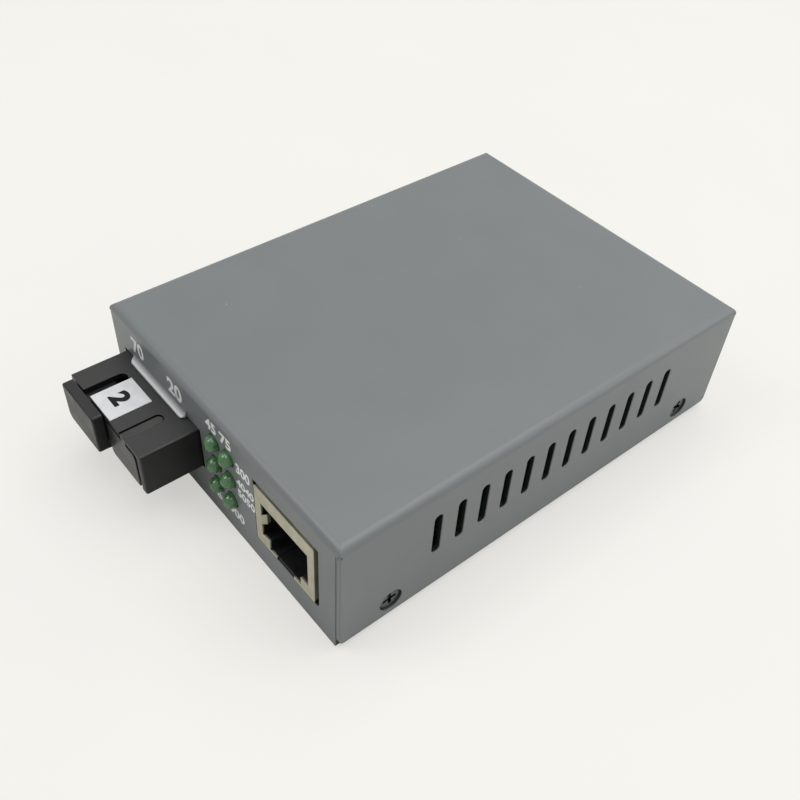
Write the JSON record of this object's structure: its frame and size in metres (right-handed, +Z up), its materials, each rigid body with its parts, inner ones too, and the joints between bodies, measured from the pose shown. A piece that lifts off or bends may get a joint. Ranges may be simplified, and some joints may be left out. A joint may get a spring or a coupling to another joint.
{
  "type": "fibre media converter",
  "caption": "Small grey folded-steel network box with an optical port and dust plug, indicator lamps and a shielded network jack in front, vent slots in the sides and a power inlet behind.",
  "frame": {"origin": "centre of the case's flat underside", "axes": "+Z up, -Y out of the front panel, +X to the right as seen from the front"},
  "size_m": [0.07, 0.1074, 0.026],
  "materials": {
    "case_paint": "fine-textured grey powder coat",
    "screw_black": "black oxide",
    "plated_steel": "nickel plated",
    "jack_shell": "satin tin plate",
    "contact_gold": "gold plated",
    "tin_lead": "tinned",
    "board_green": "solder mask",
    "moulded_black": "moulded, fine grain",
    "jack_black": "moulded, satin",
    "blank_grey": "moulded, satin",
    "plug_black": "moulded, soft satin",
    "ceramic_white": "polished ceramic",
    "barrel_metal": "turned stainless steel",
    "gold_can": "gold-flashed can",
    "label_paper": "coated paper",
    "lamp_green": "translucent green epoxy",
    "package_black": "moulded epoxy",
    "can_aluminium": "drawn can",
    "ferrite_grey": "ferrite",
    "ceramic_tan": "sintered ceramic"
  },
  "bodies": {
    "converter": {"base_plate": "case_paint", "board_screws": "plated_steel", "board_standoffs": "plated_steel", "capacitor_1": "can_aluminium", "capacitor_2": "can_aluminium", "chip_capacitors": "ceramic_tan", "chip_resistors": "package_black", "circuit_board": "board_green", "cover": "case_paint", "cover_screws": "screw_black", "crystal": "plated_steel", "dc_jack_housing": "package_black", "dc_jack_pin": "tin_lead", "dc_jack_spring": "tin_lead", "detector_can": "gold_can", "ferrule_sleeve": "ceramic_white", "lan_transformer": "package_black", "lan_transformer_leads": "tin_lead", "laser_can": "gold_can", "led_1": "lamp_green", "led_2": "lamp_green", "led_3": "lamp_green", "led_4": "lamp_green", "led_5": "lamp_green", "led_6": "lamp_green", "led_holder": "package_black", "led_leads": "tin_lead", "optical_body": "barrel_metal", "power_inductor": "ferrite_grey", "regulator": "package_black", "regulator_leads": "tin_lead", "rj45_contacts": "contact_gold", "rj45_insert": "jack_black", "rj45_shield": "jack_shell", "sc_base": "moulded_black", "sc_blank_insert": "blank_grey", "sc_housing": "moulded_black", "sc_latch_insert": "moulded_black", "switch_chip": "package_black", "switch_chip_leads": "tin_lead", "transceiver_board": "board_green", "transceiver_label": "label_paper", "transceiver_pins": "tin_lead"},
    "port_plug": {"dust_plug": "plug_black"}
  },
  "joints": [
    {"name": "dust_plug_pull", "type": "slide", "parent": "converter", "child": "port_plug", "axis": [0, -1, 0], "range_m": [0, 0.012]}
  ]
}
